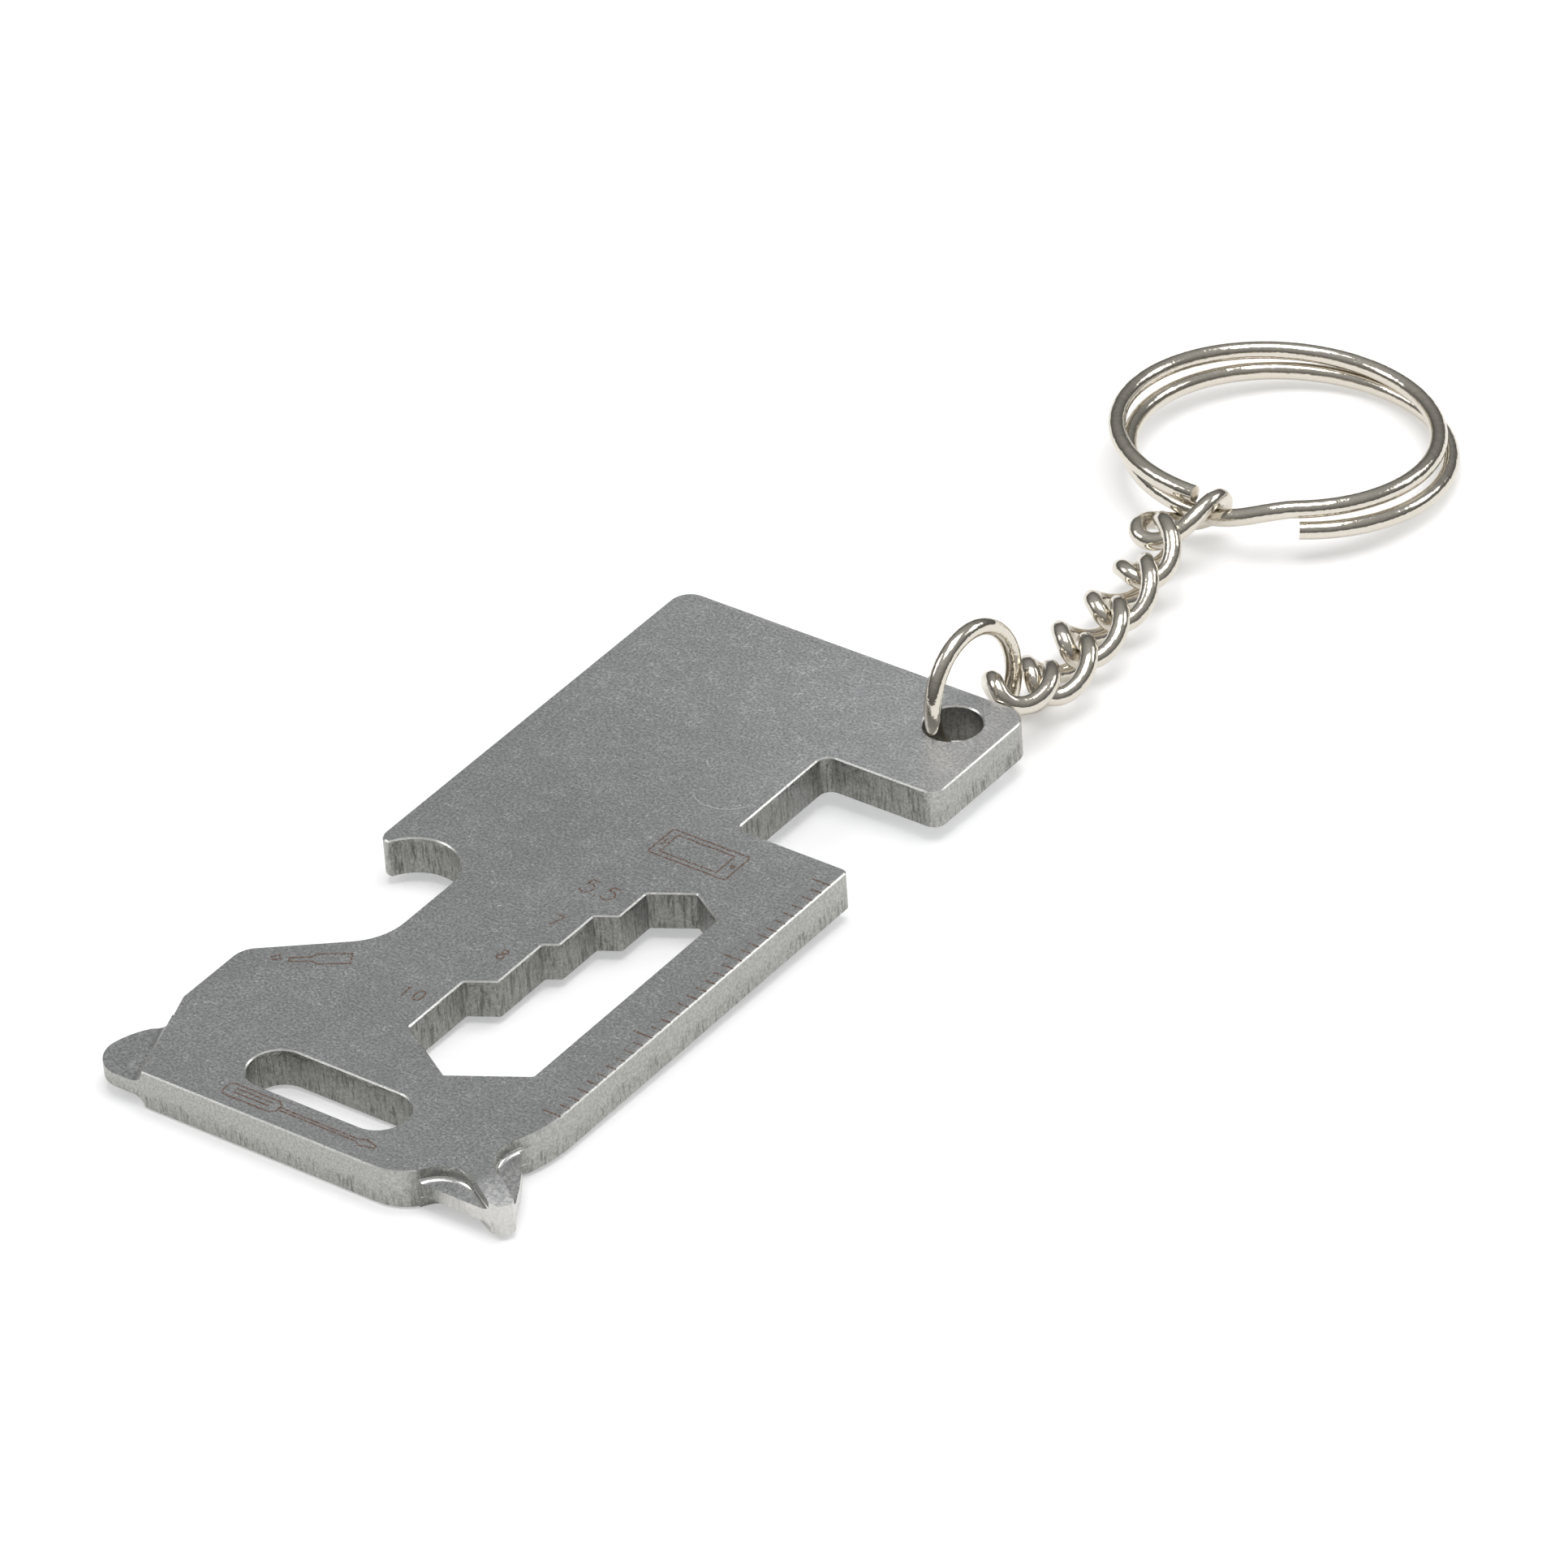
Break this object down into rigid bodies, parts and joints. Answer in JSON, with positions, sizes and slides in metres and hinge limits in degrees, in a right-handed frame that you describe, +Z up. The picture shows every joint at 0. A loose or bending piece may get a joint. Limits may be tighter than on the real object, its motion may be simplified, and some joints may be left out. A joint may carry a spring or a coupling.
{
  "type": "keychain bottle opener",
  "caption": "Flat steel pocket tool with a hooked bottle-cap mouth, stepped wrench opening, phone slot and two driver tips, on a jump ring, curb chain and split key ring.",
  "frame": {"origin": "centre of the bounding box in plan, on the table", "axes": "+X towards the ruler edge of the plate, +Y from the screwdriver end to the key ring, +Z up from the table"},
  "size_m": [0.0376, 0.117, 0.0103],
  "materials": {
    "plate_steel": "fine blasted satin stainless steel, edges ground bright",
    "ring_nickel": "polished nickel plate on steel wire",
    "chain_nickel": "nickel plate, the two faces of each link ground flat"
  },
  "bodies": {
    "tool_plate": {"tool_plate": "plate_steel"},
    "jump_ring": {"jump_ring": "ring_nickel"},
    "chain_link_1": {"chain_link_1": "chain_nickel"},
    "chain_link_2": {"chain_link_2": "chain_nickel"},
    "chain_link_3": {"chain_link_3": "chain_nickel"},
    "chain_link_4": {"chain_link_4": "chain_nickel"},
    "chain_link_5": {"chain_link_5": "chain_nickel"},
    "chain_link_6": {"chain_link_6": "chain_nickel"},
    "split_ring": {"split_ring": "ring_nickel"}
  },
  "joints": [
    {"name": "ring_in_plate_hole", "type": "hinge", "parent": "tool_plate", "child": "jump_ring", "pos_m": [0.00817, 0.00502, 0.00514], "axis": [0.9954, -0.033, 0.09], "range_deg": [-2, 30]},
    {"name": "link_1_on_ring", "type": "hinge", "parent": "jump_ring", "child": "chain_link_1", "pos_m": [0.00853, 0.00872, 0.00257], "axis": [-0.0549, 0.5733, 0.8175], "range_deg": [-2, 25]},
    {"name": "link_2_on_link_1", "type": "hinge", "parent": "chain_link_1", "child": "chain_link_2", "pos_m": [0.01003, 0.01063, 0.00358], "axis": [1, 0, 0], "range_deg": [-20, 15]},
    {"name": "link_3_on_link_2", "type": "hinge", "parent": "chain_link_2", "child": "chain_link_3", "pos_m": [0.00944, 0.01661, 0.0031], "axis": [0.5341, -0.5614, 0.6321], "range_deg": [-25, 20]},
    {"name": "link_4_on_link_3", "type": "hinge", "parent": "chain_link_3", "child": "chain_link_4", "pos_m": [0.00907, 0.02124, 0.00346], "axis": [-0.6085, 0.6813, -0.4068], "range_deg": [-20, 10]},
    {"name": "link_5_on_link_4", "type": "hinge", "parent": "chain_link_4", "child": "chain_link_5", "pos_m": [0.0079, 0.02628, 0.00381], "axis": [-0.5482, 0.6784, -0.4892], "range_deg": [-15, 8]},
    {"name": "link_6_on_link_5", "type": "hinge", "parent": "chain_link_5", "child": "chain_link_6", "pos_m": [0.00682, 0.03091, 0.00295], "axis": [0.6526, 0.6366, 0.411], "range_deg": [-25, 25]},
    {"name": "key_ring_on_link_6", "type": "hinge", "parent": "chain_link_6", "child": "split_ring", "pos_m": [0.00804, 0.03503, 0.00281], "axis": [0.9769, 0.2137, 0], "range_deg": [-3, 25]}
  ]
}
